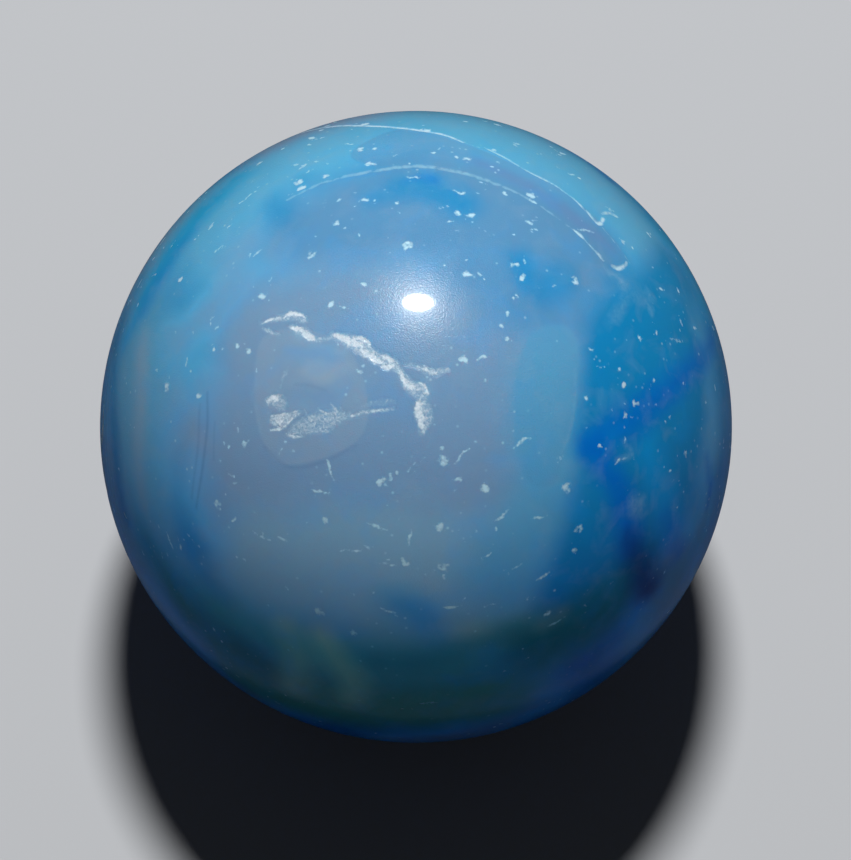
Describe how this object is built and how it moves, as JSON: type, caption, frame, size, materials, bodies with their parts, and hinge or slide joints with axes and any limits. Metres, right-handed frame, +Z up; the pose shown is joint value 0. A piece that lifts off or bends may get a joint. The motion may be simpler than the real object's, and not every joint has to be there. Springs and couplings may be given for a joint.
{
  "type": "agate sphere",
  "caption": "Polished solid sphere of dyed blue agate with a quartz vein and healed fractures, 60 mm across, for display or as a hand ball.",
  "frame": {"origin": "centre of the ball", "axes": "+Z up, away from the point that it rests on; +X and +Y are level, and the ball is the same along any of them"},
  "size_m": [0.06, 0.06, 0.06],
  "materials": {
    "agate": "dyed blue chalcedony, polished to a high gloss"
  },
  "bodies": {
    "root": {"agate_sphere": "agate"}
  },
  "joints": []
}
